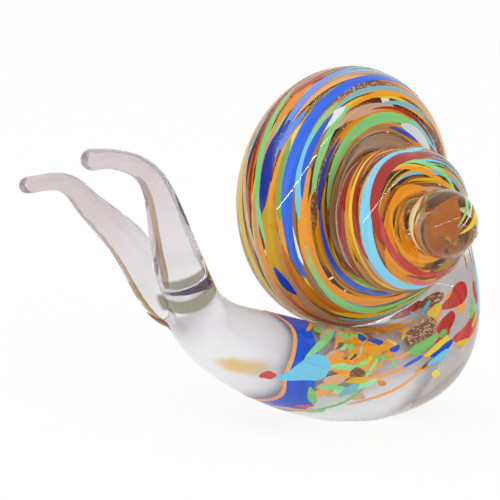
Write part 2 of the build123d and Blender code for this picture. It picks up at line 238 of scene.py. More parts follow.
# Chips on the body, by colour: first and last station, angle from the top towards the apex's side at each,
# width round the rope in degrees, tone from deep to pale, and how far back the chip is fullest
chips = {
    "tan": (
        (3.02, 3.46, 86, 80, 12, 0.6), (2.66, 3.00, 64, 52, 16, 0.5), (4.84, 5.30, 72, 92, 8, 0.8),
    ),
    "orange": (
        (2.88, 4.36, 93, 65, 4, 0.9), (3.08, 4.28, 122, 79, 4, 0.9), (2.58, 2.98, 77, 73, 18, 0.5),
        (3.00, 3.24, 46, 42, 26, 0.4), (3.12, 3.60, 54, 48, 26, 0.5, 1.2), (3.58, 3.98, 46, 40, 15, 0.5),
        (3.54, 3.80, 58, 56, 10, 0.5), (2.98, 3.34, 67, 62, 11, 0.5), (3.16, 3.52, 72, 67, 8, 0.5),
        (3.40, 3.98, 8, 14, 22, 0.2), (3.92, 4.08, 16, 20, 13, 0.4), (4.06, 4.42, 14, 17, 9, 0.5),
        (4.14, 4.40, 25, 27, 7, 0.4), (2.66, 2.94, 56, 20, 9, 0.7), (4.10, 4.44, 82, 76, 6, 0.7),
        (4.92, 5.24, 86, 82, 11, 0.8), (5.28, 5.58, 63, 75, 10, 0.8), (4.35, 4.75, 40, 26, 5, 0.8),
        (4.60, 5.30, 42, 40, 5, 0.8), (5.40, 5.75, 46, 62, 6, 0.9), (3.70, 4.50, 62, 52, 4, 0.9),
        (2.48, 2.70, 120, 110, 14, 0.9), (2.70, 2.94, 115, 103, 9, 0.9), (2.30, 2.72, 168, 142, 11, 0.9),
        (2.26, 2.54, 38, 12, 8, 0.5), (2.75, 3.10, 86, 82, 5, 0.6),
    ),
    "red": (
        (4.40, 5.24, -7, 12, 18, 0.4), (5.18, 6.00, 43, 87, 23, 0.6, 1.5), (4.72, 5.26, 49, 58, 15, 0.5),
        (4.88, 5.60, 71, 107, 17, 0.8), (4.54, 4.98, 57, 59, 10, 0.7), (5.68, 6.00, 104, 110, 8, 0.7),
        (1.62, 1.86, 122, 112, 13, 0.7), (2.46, 2.66, 146, 134, 8, 0.9),
    ),
    "green": (
        (2.18, 2.82, 78, 22, 13, 0.7), (2.90, 3.08, 36, 36, 32, 0.6), (4.08, 4.72, 59, 50, 13, 0.4),
        (2.52, 2.92, 107, 100, 7, 0.6), (2.74, 3.26, 140, 96, 5, 0.4), (5.38, 5.74, 87, 98, 8, 0.5),
        (2.42, 2.60, 34, 22, 15, 0.2), (2.98, 3.30, 84, 76, 4, 0.6), (3.30, 3.75, 60, 58, 4, 0.4),
        (2.40, 2.64, 112, 130, 13, 0.4), (2.66, 2.86, 148, 138, 9, 0.6),
    ),
    "yellow": (
        (4.88, 5.28, 30, 39, 12, 0.7), (4.30, 4.86, 67, 62, 7, 0.8), (2.90, 3.28, 92, 86, 8, 0.3),
        (3.00, 3.30, 24, 20, 8, 0.2), (5.30, 5.60, 92, 104, 6, 0.4),
    ),
    "copper": (
        (4.12, 4.92, 46, 33, 22, 0.5), (5.04, 5.66, 17, 45, 18, 0.5), (2.92, 3.22, 82, 79, 12, 0.5),
        # The chip from station 3.42 to 3.62 is painted shade: dark copper glass for the dark shading of the
        # orange mass beside it
        (4.20, 4.60, 80, 73, 5, 0.5), (3.42, 3.62, 24, 24, 9, 0.5),
    ),
    "cobalt": (
        (3.24, 3.42, 32, 30, 13, 0.1), (3.44, 3.72, 35, 37, 9, 0.3), (3.76, 3.99, 50, 46, 7, 0.3),
        (4.40, 4.88, 70, 71, 8, 0.3), (3.90, 4.30, 72, 66, 4, 0.6), (2.70, 2.90, 40, 20, 4, 0.8),
    ),
    "sky": (
        (1.86, 2.60, 114, 77, 36, 0.5, 2.2), (5.50, 6.45, 110, 142, 14, 0.5), (4.32, 4.74, 78, 75, 8, 0.5),
        (3.10, 3.24, 60, 44, 5, 0.7), (2.86, 3.14, 108, 95, 14, 0.1), (4.90, 5.30, 20, 26, 5, 0.3),
    ),
}
# Maroon chip under the far horn, as a chip's row along the horn
horn_chip = (0.34, 0.98, -12, -12, 70, 0.0)
# Chips strewn at random: stations where they start, then greatest length, angles, greatest width, slope
# along the rope and least tone
scatter_starts, scatter_range = (2.5, 4.4), (0.5, (-165, -22), 16)
crumb_starts, crumb_range = (2.6, 5.2), (0.22, (5, 92), 9)
smear_starts, smear_range = (2.42, 3.3), (0.5, (14, 112), 11, -45, 0.7)
scatter_colours = (
    "orange", "red", "green", "yellow", "orange", "cobalt", "sky", "copper", "orange", "red",
)
crumb_colours = ("orange", "orange", "green", "yellow", "orange", "sky", "red", "yellow")
smear_colours = ("tan", "tan", "orange", "tan", "green", "tan")
# A strewn chip's least length and width, as shares of the greatest, and how far its end sways in degrees
least_length_share, least_width_share, chip_sway = 0.3, 0.45, 12
# Lanes of small streaks: last turn, and least and most tone, in the glass and on it
deep_lanes, top_lanes = (1.6, (0.7, 1.0)), (1.72, (0.0, 0.6))
deep_colours = ("yellow", "orange")
lane_colours = (
    "orange", "yellow", "orange", "tan", "yellow", "orange",
    "green", "tan", "yellow", "orange", "sky", "tan",
)
apex_colours = ("yellow", "orange", "orange", "tan")
# A lane's streaks: lead before the coil, lengths, gaps and overrun in turns
lane_lead, lane_lengths, lane_gaps, lane_overrun = 0.09, (0.15, 0.5), (-0.04, 0.03), 0.1
# Their widths and drift in degrees, sway in lanes, and depths under the surface, on the glass and in it
lane_widths, lane_drift, lane_sway = (5, 11), 8, 0.3
top_depths, deep_depths = (0, 0.00002), (0.0005, 0.0012)
# Near the apex, how much wider and deeper in tone they are
apex_width_share, apex_tone_share = 2, 0.7
# Fine threads: turns where they start, lengths in turns, then angles, sway and widths in degrees
thread_starts, thread_lengths = (coil_start + 0.02, 1.6), (0.12, 0.45)
thread_angles, thread_sway, thread_widths = (-60, 300), (-8, 12), (1.2, 2.6)
# Threads of the neck: edges beside their line in stations, and angles that the second one spans
first_edges, second_edges, second_span = (-0.05, 0.02), (0.0, 0.05), (-165, 6)

# Cuts of each tube and wrap along its length, of sheets a turn and a station, and of a dome
body_cuts, horn_cuts, core_cuts, coil_cuts, wrap_cuts = 70, 48, 60, 300, (96, 6)
turn_cuts, station_cuts, dome_cuts = 110, 30, 6
# Length of a turn and of a station in a sheet's chart
turn_pitch, station_pitch = 12, 1.3
# A sheet's least width, and the waves of its edges and of its path, as shares of its width
tip_share, edge_wave_share, path_wave_share = 0.05, 0.14, 0.08
# How blunt the tips of streaks and of chips are, less being blunter
streak_tips, chip_tips = 0.55, 0.42

# Painted shade on the tail, in place of the dim surroundings seen through its clear glass: places on its
# border, as station and angle from the top, heights between which it sets in, and the border's width and
# waver
tail_shade_border = ((4.86, 70), (4.60, 82), (4.10, 135))
tail_shade_heights, tail_shade_edge, tail_shade_waver = (0.034, 0.026), 0.0012, 0.002
# Places along X between which the head's tint and the horns' mist set in
stem_places, mist_places = (-0.047, -0.053), (-0.056, -0.068)
# Olive ring of painted shade on the near horn, for the dark refraction where it meets the head:
# place on its rows, half its width, and its reach in the horn's radii
ring_place, ring_half, ring_shares = 1.1, 0.0022, (1.35, 1.15)
# Stain in the white core: station and angle of its middle, turn from the rope, half its length and width,
# and how deep it fades
stain_spot, stain_turn, stain_reach, stain_width = (1.42, 137), 24, 0.0056, 0.0021
stain_fade = 0.001

# Lamps: place to the right of, above and behind the camera's target, size, and the tube's tilt in degrees
tube_place, tube_size, tube_tilt = (0, 0.03, 0.80), (2.6, 0.012), 22
box_place, box_size = (-0.5, 0.7, 0.6), (0.5, 0.5)
# Floor's depth under the foot, and its two tints
floor_drop, floor_tints = 0.0002, ((0.93, 0.93, 0.93), (0.95, 0.95, 0.95))
# How much of the light sideways the studio's dim sides take up, from none to all
side_shares = (0.5, 0.9)

# Deep, main and pale shade of each colour of glass
shade_names = ("deep", "main", "pale")
palette = {
    "cobalt": ((0.011, 0.024, 0.28), (0.006, 0.100, 0.69), (0.15, 0.28, 0.72)),
    "sky": ((0.17, 0.37, 0.40), (0.14, 0.52, 0.73), (0.33, 0.62, 0.77)),
    "green": ((0.17, 0.28, 0.03), (0.195, 0.54, 0.165), (0.32, 0.67, 0.32)),
    "yellow": ((0.50, 0.24, 0.007), (0.66, 0.46, 0.010), (0.78, 0.63, 0.06)),
    "orange": ((0.40, 0.11, 0.008), (0.80, 0.30, 0.007), (0.72, 0.35, 0.14)),
    "red": ((0.22, 0.008, 0.005), (0.42, 0.018, 0.010), (0.60, 0.10, 0.11)),
    "white": ((0.38, 0.41, 0.44), (0.66, 0.68, 0.72), (0.82, 0.82, 0.85)),
    "copper": ((0.10, 0.04, 0.018), (0.156, 0.061, 0.026), (0.223, 0.091, 0.032)),
    "tan": ((0.25, 0.11, 0.04), (0.48, 0.25, 0.12), (0.60, 0.40, 0.30)),
}


def length(name, description, default):
    """A size in metres, shown as a length."""
    return FloatProperty(name=name, description=description, default=default, unit="LENGTH", precision=5)


def tint(name, description, default):
    """A linear colour, shown as a swatch."""
    return FloatVectorProperty(
        name=name, description=description, default=default, subtype="COLOR", size=3, min=0, max=1
    )


def number(name, description, default):
    """A plain number."""
    return FloatProperty(name=name, description=description, default=default)


def count(name, description, default):
    """A whole number."""
    return IntProperty(name=name, description=description, default=default)


class SnailSizes(bpy.types.PropertyGroup):
    """Sizes of the glass rope and of what lies in it."""

    rope_radius: length("Rope radius", "Radius of the rope along the foot", 0.0102)
    neck_radius: length("Neck radius", "Radius of the rope at the head", 0.0063)
    casing_wall: length("Casing wall", "Clear glass over the white core", 0.0026)
    flat_depth: length("Ground depth", "How much of the foot is ground flat", 0.0012)
    glass_inset: length("Glass inset", "Depth of the glass below the rope's full radius", 0.0003)
    colour_rise: length("Colour rise", "How far colour stands over the glass", 0.00005)
    colour_step: length("Colour step", "Rise of each layer of colour over the one below", 0.000006)
    colour_depth: length("Colour depth", "Thickness of a streak or chip", 0.00015)
    dull_depth: length("Dull depth", "Depth in the glass from which colour doesn't shine", 0.0003)
    band_drop: length("Band drop", "How much lower the neck's band lies than the chips", 0.00003)
    thread_lift: length("Thread lift", "How much higher the neck's threads lie than its band", 0.00004)
    ground_reach: length("Ground reach", "Height up to which the foot is cut flat", 0.004)
    joint_reach: length("Joint reach", "How far below the coil's start the tail is cut", 0.008)
    joint_slack: length("Joint slack", "How flat the fused joint's faces lie", 0.00002)
    head_reach: length("Head reach", "Distance of the head ahead of the coil's axis", 0.0488)
    head_height: length("Head height", "Height of the head's middle", 0.025)
    tail_bulge: length("Tail bulge", "Reach of the tail behind the coil", 0.0075)
    whorl_radius: length("Whorl radius", "Radius of the first whorl's centre line", 0.019)
    whorl_offset: length("Whorl offset", "Distance of the coil's start behind the foot", 0.011)
    axis_height: length("Axis height", "Height of the coil's axis", 0.042381)
    lean: number("Shell lean", "Lean of the coil's axis, as a slope", 0.18)
    near_horn: FloatVectorProperty(
        name="Near horn", description="Reach, spread, rise and radius of the near horn",
        default=(0.034, -0.0065, 0.0307, 0.0052), size=4, unit="LENGTH",
    )
    far_horn: FloatVectorProperty(
        name="Far horn", description="Reach, spread, rise and radius of the far horn",
        default=(0.037, 0.0095, 0.0242, 0.0046), size=4, unit="LENGTH",
    )
    skin: length("Skin", "Cell size when the horns are melted into the head", 0.0004)
    lanes: count("Lanes", "Rows of small streaks round the shell's rope", 40)
    threads: count("Threads", "Fine threads on the shell", 60)
    crumbs: count("Crumbs", "Small chips strewn between the large ones", 30)
    smears: count("Smears", "Drawn-out smears under the chips behind the band", 44)
    scatter: count("Scatter", "Chips strewn over the body's far side", 60)
    seed: count("Seed", "Start of the random draws", 7)


class SnailColours(bpy.types.PropertyGroup):
    """Colours of the glass."""

    clear: tint("Clear", "Tint of the clear glass", (0.995, 0.995, 0.997))
    stem: tint("Stem", "Tint of the glass where the horns part", (0.76, 0.74, 0.76))
    mist: tint("Mist", "Tint of the horns' ends", (0.75, 0.67, 0.68))
    milk: tint("Milk", "Milky veil in the horns", (0.64, 0.58, 0.59))
    # Painted shade: the tail's dark veil stands in for dim surroundings seen through the clear glass
    painted_tail_shade: tint("Smoke", "Smoky veil in the tail", (0.46, 0.41, 0.38))
    stain: tint("Stain", "Ochre stain in the white core", (0.80, 0.55, 0.20))
    honey: tint("Honey", "Tint of the shell's glass", (0.91, 0.74, 0.48))
    # Painted shade: a dark ring for the refraction where the near horn meets the head
    painted_olive_shade: tint("Olive", "Ring of olive glass at the foot of the near horn", (0.10, 0.085, 0.045))
    flake: tint("Flake", "Copper flakes in the brown glass", (0.62, 0.37, 0.22))
    opal: tint("Opal", "White of the core", (0.90, 0.90, 0.917))


SnailColours.__annotations__.update({
    f"{colour}_{shade}": tint(f"{colour.title()}, {shade}", f"{shade.title()} shade of {colour} glass", value)
    for colour, values in palette.items()
    for shade, value in zip(shade_names, values)
})


class SnailStage(bpy.types.PropertyGroup):
    """Camera, floor and light."""

    azimuth: number("Azimuth", "Camera's azimuth, in degrees", -41.13)
    elevation: number("Elevation", "Camera's elevation, in degrees", 8.27)
    roll: number("Roll", "Camera's roll, in degrees", 4.65)
    distance: length("Distance", "Camera's distance from its target", 0.701)
    target: FloatVectorProperty(
        name="Target", description="Point on the camera's axis",
        default=(-0.01724, 0.01977, 0.03212), size=3, unit="LENGTH",
    )
    lens: number("Lens", "Focal length in millimetres", 243.5)
    floor_size: length("Floor size", "Side of the square floor", 40.0)
    glow: number("Glow", "Share of the floor's white that no shadow dims", 0.86)
    side_shade: tint("Side shade", "Dim sides of the studio, seen in the glass", (0.26, 0.25, 0.20))
    room_light: number("Room light", "Strength of the white room", 1.0)
    tube_light: number("Tube light", "Brightness of the long tube lamp", 30.0)
    soft_light: number("Soft light", "Brightness of the soft box", 0.8)
    glass_bounces: count("Glass bounces", "Bounces of light through glass", 32)
    glossy_bounces: count("Glossy bounces", "Bounces of mirrored light", 24)
    diffuse_bounces: count("Diffuse bounces", "Bounces of scattered light", 10)


# A smooth value of one column of a table, at any place in its first column
def along(rows, column, place):
    places = [row[0] for row in rows]
    values = [row[column] for row in rows]
    last = len(rows) - 1
    low = min(max(bisect_right(places, place) - 1, 0), last - 1)
    high = low + 1

    def slope(row):
        before, after = max(row - 1, 0), min(row + 1, last)
        return (values[after] - values[before]) / (places[after] - places[before])

    step = places[high] - places[low]
    part = (place - places[low]) / step
    rest = 1 - part
    return (
        values[low] * (1 + 2 * part) * rest**2
        + slope(low) * step * part * rest**2
        + values[high] * (3 - 2 * part) * part**2
        - slope(high) * step * rest * part**2
    )


class Rope:
    """Centre line, cross axes and radius of the glass rope, from the head to the apex."""

    nudge = 0.001

    def __init__(self, sizes):
        self.sizes = sizes
        self.body_rows = self.make_body_rows()

    def coil_point(self, turn):
        s = self.sizes
        advance = along(coil_shares, 3, turn) * s.rope_radius
        radius = along(coil_shares, 1, turn) * s.whorl_radius + along(coil_shares, 2, turn) * s.rope_radius
        across = radius * cos(2 * pi * turn) - s.lean * advance
        return Vector((across, s.whorl_offset - advance, s.axis_height + radius * sin(2 * pi * turn)))

    def coil(self, turn):
        """Centre, axis to the outer rim, axis towards the apex, and radius.

        Before its start it goes back along the tail, and past its end over the dome."""
        if turn < coil_start:
            share = (turn - coil_start) / (guide_turn - coil_start)
            centre, top, side, radius = self.body(body_end + share * (guide_station - body_end))
            return centre, -top, side, radius
        if turn > coil_end:
            centre, rim, side, radius = self.coil(coil_end)
            glass = radius - self.sizes.glass_inset
            lift = pi / 2 * (turn - coil_end) / (dome_end - coil_end)
            centre += glass * sin(lift) * side.cross(rim)
            return centre, rim, side, radius - glass * (1 - cos(lift))
        behind = (self.coil_point(turn - self.nudge) - self.coil_point(turn + self.nudge)).normalized()
        rim = Vector((cos(2 * pi * turn), 0, sin(2 * pi * turn)))
        rim = (rim - rim.dot(behind) * behind).normalized()
        radius = along(coil_shares, 4, turn) * self.sizes.rope_radius
        return self.coil_point(turn), rim, behind.cross(rim), radius

    def make_body_rows(self):
        s = self.sizes
        foot = s.rope_radius - s.flat_depth
        rows = []
        for station, reach, rise, girth in neck_shares:
            height = foot + rise * (s.head_height - foot)
            radius = s.neck_radius + girth * (s.rope_radius - s.neck_radius)
            rows.append((station, reach * s.head_reach, 0, height, radius))
        tail_reach = coil_shares[0][1] * s.whorl_radius + s.tail_bulge
        for station, reach, back, rise, girth in tail_shares:
            height = foot + rise * (s.axis_height - foot)
            radius = girth * s.rope_radius
            rows.append((station, reach * tail_reach, back * s.whorl_offset, height, radius))
        for station, turn in ((body_end, coil_start), (guide_station, guide_turn)):
            rows.append((station, *self.coil_point(turn), along(coil_shares, 4, turn) * s.rope_radius))
        return rows

    def on_rows(self, rows, place):
        """Centre, axis to the top, axis towards the apex's side, and radius, on rows of points."""
        def point(spot):
            return Vector([along(rows, column, spot) for column in (1, 2, 3)])

        ahead = (point(place + self.nudge) - point(place - self.nudge)).normalized()
        top = ahead.cross(Vector((0, 1, 0))).normalized()
        return point(place), top, ahead.cross(top), along(rows, 4, place)

    def body(self, station):
        return self.on_rows(self.body_rows, station)

    def horn(self, shares, measures):
        reach, spread, rise, radius = measures
        s = self.sizes
        rows = [
            (place, -s.head_reach - out * reach, side * spread, s.head_height + up * rise, girth * radius)
            for place, (out, side, up, girth) in enumerate(shares)
        ]
        return lambda place: self.on_rows(rows, place)

    def core(self, station):
        wall = self.sizes.casing_wall
        centre, top, side, radius = self.body(station)
        centre += along(core_shares, 2, station) * wall * top
        return centre, top, side, radius - along(core_shares, 1, station) * wall


def spot(section, angle, inset):
    """Point at an angle round a section, below its surface."""
    centre, first, second, radius = section
    turned = radians(angle)
    return centre + (radius - inset) * (cos(turned) * first + sin(turned) * second)


def sheet_spot(section, angle, inset):
    """Point of a sheet of colour, which the ground foot cuts level."""
    point = spot(section, angle, inset)
    point.z = max(point.z, bpy.context.scene.snail_sizes.colour_depth)
    return point


# Mesh work

def deselect():
    """Leaves nothing selected and object mode on."""
    if bpy.context.object and bpy.context.object.mode != "OBJECT":
        bpy.ops.object.mode_set(mode="OBJECT")
    bpy.ops.object.select_all(action="DESELECT")


def pick(*objects):
    """Selects the given objects alone, the first of them active."""
    deselect()
    for one in objects:
        one.select_set(True)
    bpy.context.view_layer.objects.active = objects[0]


def join(name, objects):
    """Joins objects into one of that name."""
    pick(*objects)
    bpy.ops.object.join()
    whole = bpy.context.object
    whole.name = whole.data.name = name
    return whole


def apply_modifier(piece, kind, **settings):
    """Adds a modifier with those settings and applies it."""
    pick(piece)
    modifier = piece.modifiers.new(kind.title(), kind)
    for setting, value in settings.items():
        setattr(modifier, setting, value)
    bpy.ops.object.modifier_apply(modifier=modifier.name)


def edit(piece, work):
    """Runs work on the piece in edit mode, with all of it selected."""
    pick(piece)
    bpy.ops.object.mode_set(mode="EDIT")
    bpy.ops.mesh.select_all(action="SELECT")
    work()
    bpy.ops.object.mode_set(mode="OBJECT")


def wrapped_grid(name, rows, columns, place):
    """A grid whose points are put where place says, from their shares along and across."""
    deselect()
    bpy.ops.mesh.primitive_grid_add(x_subdivisions=rows, y_subdivisions=columns, size=1)
    piece = bpy.context.object
    piece.name = piece.data.name = name
    for point in piece.data.vertices:
        along_share, across_share = (min(max(part + 0.5, 0.0), 1.0) for part in point.co[:2])
        point.co = place(along_share, across_share)
    return piece


def smooth(piece):
    """Shades a piece smoothly, apart from its sharp edges."""
    pick(piece)
    bpy.ops.object.shade_smooth_by_angle(angle=radians(50))


def tube(name, sections, domes=(False, False), inset=0, segments=96):
    """A closed tube through sections, with a rounded end where one is asked for."""
    rings = [(centre, first, second, radius - inset) for centre, first, second, radius in sections]
    rounds = [cos(pi / 2 * step / dome_cuts) for step in range(dome_cuts)]
    for end, domed in zip((0, -1), domes):
        if domed:
            centre, first, second, radius = rings[end]
            ahead = first.cross(second) * (-1 if end == 0 else 1)
            inner = rings[1 if end == 0 else -2][0]
            if ahead.dot(centre - inner) < 0:
                ahead = -ahead
            cap = [
                (centre + ahead * radius * sqrt(1 - round_share**2), first, second, radius * round_share)
                for round_share in (*rounds[1:], 0.001)
            ]
            rings = cap[::-1] + rings if end == 0 else rings + cap
    last = len(rings) - 1

    def place(share, across):
        return spot(rings[round(share * last)], 360 * across, 0)

    piece = wrapped_grid(name, last, segments, place)

    def close():
        bpy.ops.mesh.remove_doubles(threshold=1e-6)
        bpy.ops.mesh.select_all(action="DESELECT")
        bpy.ops.mesh.select_non_manifold()
        bpy.ops.mesh.edge_face_add()
        bpy.ops.mesh.select_all(action="SELECT")
        bpy.ops.mesh.normals_make_consistent(inside=False)

    edit(piece, close)
    return piece


def mark(piece, tone, chart, dull=0.0):
    """Notes the tone of a sheet of colour, and where on the rope each of its corners lies."""
    tones = piece.data.attributes.new("tone", "FLOAT", "POINT")
    tones.data.foreach_set("value", [tone] * len(tones.data))
    dulls = piece.data.attributes.new("dull", "FLOAT", "POINT")
    dulls.data.foreach_set("value", [dull] * len(dulls.data))
    for corner in piece.data.uv_layers.active.data:
        corner.uv = chart(*corner.uv)


def leaf(section, row, inset, rng, cuts, pitch, bow=0, nose=1, blunt=streak_tips):
    """A sheet of colour that follows the rope below its full radius, narrow at its tips.

    It is cut at the same places as every other sheet, so that sheets that cross keep their order."""
    start, end, first, last, width, tone = row
    inner = [step / cuts for step in range(floor(start * cuts) + 1, ceil(end * cuts))]
    places = [start, *inner, end]
    rows = len(places) - 1
    columns = max(3, round(width / 2))
    sections = [section(place) for place in places]
    waves = [rng.uniform(0, 2 * pi) for _ in range(2)]

    def path(step, across):
        """Share of the way along the sheet, and the angle there."""
        share = (places[round(step * rows)] - start) / (end - start)
        fullness = abs(sin(pi * share**nose)) ** blunt
        half = width / 2 * (tip_share + (1 - tip_share) * fullness)
        half *= 1 + edge_wave_share * sin(6 * share + waves[0] + 2 * across)
        middle = first + (last - first) * share + bow * sin(pi * share)
        sway = path_wave_share * width * sin(5 * share + waves[1])
        return share, middle + sway + half * (2 * across - 1)

    def chart(step, across):
        share, angle = path(step, across)
        return pitch * (start + (end - start) * share), angle / 360

    piece = wrapped_grid(
        "leaf", rows, columns,
        lambda step, across: sheet_spot(sections[round(step * rows)], path(step, across)[1], inset),
    )
    sizes = bpy.context.scene.snail_sizes
    mark(piece, tone, chart, float(inset > sizes.glass_inset + sizes.dull_depth))
    return piece


def thicken(piece):
    """Makes closed bodies of sheets of colour."""
    depth = bpy.context.scene.snail_sizes.colour_depth
    apply_modifier(piece, "SOLIDIFY", thickness=depth, offset=0)
    edit(piece, lambda: bpy.ops.mesh.normals_make_consistent(inside=False))
    smooth(piece)


# Shader work

class Value:
    """A shader socket in an expression: arithmetic on it adds Math nodes."""

    def __init__(self, finish, socket):
        self.finish = finish
        self.socket = socket

    def math(self, operation, first, second=0.0):
        return self.finish.add("ShaderNodeMath", {"operation": operation}, {0: first, 1: second})

    def __add__(self, other):
        return self.math("ADD", self, other)

    def __radd__(self, other):
        return self.math("ADD", other, self)

    def __sub__(self, other):
        return self.math("SUBTRACT", self, other)

    def __rsub__(self, other):
        return self.math("SUBTRACT", other, self)

    def __mul__(self, other):
        return self.math("MULTIPLY", self, other)

    def __rmul__(self, other):
        return self.math("MULTIPLY", other, self)

    def __truediv__(self, other):
        return self.math("DIVIDE", self, other)

    def __rtruediv__(self, other):
        return self.math("DIVIDE", other, self)

    def __abs__(self):
        return self.math("ABSOLUTE", self)


class Finish:
    """The nodes of one material or of the world."""

    def __init__(self, tree):
        self.tree = tree
        tree.nodes.clear()

    def add(self, kind, settings=None, sockets=None, output=0):
        """Adds a node, sets it up, feeds its sockets and gives one output."""
        node = self.tree.nodes.new(kind)
        for setting, value in (settings or {}).items():
            if setting == "stops":
                self.set_stops(node.color_ramp, value)
            else:
                setattr(node, setting, value)
        for name, value in (sockets or {}).items():
            if isinstance(value, Value):
                self.tree.links.new(value.socket, node.inputs[name])
            else:
                socket = node.inputs[name]
                wide = socket.type == "RGBA" and len(value) == 3
                socket.default_value = (*value, 1) if wide else value
        return Value(self, node.outputs[output]) if node.outputs else None

    @staticmethod
    def set_stops(ramp, stops):
        while len(ramp.elements) < len(stops):
            ramp.elements.new(1)
        for element, (position, colour) in zip(ramp.elements, stops):
            element.position = position
            element.color = (*colour, 1)

    def mix(self, share, first, second):
        return self.add("ShaderNodeMix", {"data_type": "RGBA"}, {0: share, 6: first, 7: second}, 2)

    def steps(self, value, low, high, start=0.0, end=1.0):
        """A smooth step from start to end, between low and high."""
        return self.add(
            "ShaderNodeMapRange",
            {"interpolation_type": "SMOOTHSTEP"},
            {"Value": value, "From Min": low, "From Max": high, "To Min": start, "To Max": end},
        )

    def noise(self, vector, scale, detail=2.0):
        return self.add("ShaderNodeTexNoise", {}, {"Vector": vector, "Scale": scale, "Detail": detail})

    def place(self, kind, scale=(1, 1, 1), shift=(0, 0, 0)):
        """Coordinates of that kind, scaled and shifted."""
        start = self.add("ShaderNodeTexCoord", {}, {}, kind)
        return self.add("ShaderNodeMapping", {}, {"Vector": start, "Scale": scale, "Location": shift})

    def least(self, first, second):
        return self.add("ShaderNodeMath", {"operation": "MINIMUM"}, {0: first, 1: second})

    def measure(self, operation, first, second):
        """A number from two vectors."""
        return self.add("ShaderNodeVectorMath", {"operation": operation}, {0: first, 1: second}, "Value")

    def beyond(self, where, point, ahead):
        """How far a place lies ahead of the plane at a point."""
        ahead = ahead.normalized()
        return self.measure("DOT_PRODUCT", where, ahead) - point.dot(ahead)

    def principled(self, sockets):
        return self.add("ShaderNodeBsdfPrincipled", {}, sockets)

    def end(self, surface):
        self.add("ShaderNodeOutputMaterial", {}, {"Surface": surface})


def new_material(name):
    """A material with an empty node tree, and its finish."""
    material = bpy.data.materials.new(name)
    material.use_nodes = True
    return material, Finish(material.node_tree)


def scaled(colour, share):
    return tuple(min(1.0, part * share) for part in colour)


def polish(finish):
    """The slight waves of a fire-polished surface."""
    wave = finish.noise(finish.place("Object"), 90, 1)
    return finish.add("ShaderNodeBump", {}, {"Strength": 0.04, "Distance": 0.002, "Height": wave})


def glass(finish, colour):
    """Clear glass of a colour."""
    return finish.principled({
        "Base Color": colour, "Roughness": 0.0, "IOR": 1.5, "Transmission Weight": 1.0,
        "Normal": polish(finish),
    })


def clear_glass(colours):
    """Clear glass, milky in the horns, with painted shade: a dark veil on the tail and a dark ring on the
    near horn.
    """
    material, finish = new_material("clear_glass")
    sizes = bpy.context.scene.snail_sizes
    rope = Rope(sizes)
    where = finish.place("Object")
    ahead = finish.add("ShaderNodeSeparateXYZ", {}, {"Vector": where}, "X")
    height = finish.add("ShaderNodeSeparateXYZ", {}, {"Vector": where}, "Z")
    cloud = finish.noise(where, 60, 3)
    parting = finish.steps(ahead, *stem_places)
    horn = finish.steps(ahead, *mist_places)
    # Painted shade on the tail: it sets in past a plane through three points of its border, and below a
    # height
    first, second, third = (spot(rope.body(station), angle, 0) for station, angle in tail_shade_border)
    past = finish.beyond(where, first, (second - first).cross(third - first))
    tail = finish.steps(past + tail_shade_waver * (cloud - 0.5), 0.0, tail_shade_edge)
    tail = tail * finish.steps(height, *tail_shade_heights)
    # Painted shade: a dark ring round the near horn's foot, for the refraction where it meets the head
    root, top, side, girth = rope.horn(near_shares, sizes.near_horn)(ring_place)
    ring = finish.steps(abs(finish.beyond(where, root, top.cross(side))), ring_half, 0.6 * ring_half)
    away = finish.measure("DISTANCE", where, root)
    ring = ring * finish.steps(away, *(share * girth for share in ring_shares))
    # Milky veil in the horns; on the tail its dark tint is painted shade
    veil = finish.principled({
        "Base Color": finish.mix(tail, colours.milk, colours.painted_tail_shade),
        "Roughness": 0.05 + 0.02 * cloud,
        "Normal": polish(finish),
    })
    tinted = finish.mix(parting, colours.clear, colours.stem)
    clear = glass(finish, finish.mix(ring, finish.mix(horn, tinted, colours.mist), colours.painted_olive_shade))
    # Share of milky veil in the horns and of painted shade on the tail
    share = (0.25 * horn + 0.62 * tail) * (0.75 + 0.5 * cloud)
    finish.end(finish.add("ShaderNodeMixShader", {}, {0: share, 1: clear, 2: veil}))
    return material


def honey_glass(colours):
    """Warm clear glass with faint striae."""
    material, finish = new_material("amber_glass")
    cloud = finish.noise(finish.place("Object"), 160, 3)
    finish.end(glass(finish, finish.mix(cloud, scaled(colours.honey, 0.94), colours.honey)))
    return material


def opal_glass(colours):
    """White opal with a faint cloud, and an ochre stain below the neck."""
    material, finish = new_material("opal_glass")
    where = finish.place("Object")
    cloud = finish.noise(where, 120, 3)
    rope = Rope(bpy.context.scene.snail_sizes)
    core, top, side, radius = rope.core(stain_spot[0])
    middle = spot((core, top, side, radius), stain_spot[1], 0)
    outward = (middle - core).normalized()
    drawn = Matrix.Rotation(radians(stain_turn), 3, outward) @ top.cross(side)
    lengthwise = finish.beyond(where, middle, drawn) / stain_reach
    crosswise = finish.beyond(where, middle, drawn.cross(outward)) / stain_width
    away = lengthwise * lengthwise + crosswise * crosswise + 2.4 * (cloud - 0.5)
    behind = finish.beyond(where, core, outward)
    stain = finish.steps(away, 1.2, 0.0) * finish.steps(behind, 0.0, stain_fade)
    white = finish.mix(cloud, scaled(colours.opal, 0.97), colours.opal)
    finish.end(finish.principled({
        "Base Color": finish.mix(stain, white, colours.stain), "Roughness": 0.3 + 0.2 * cloud,
    }))
    return material


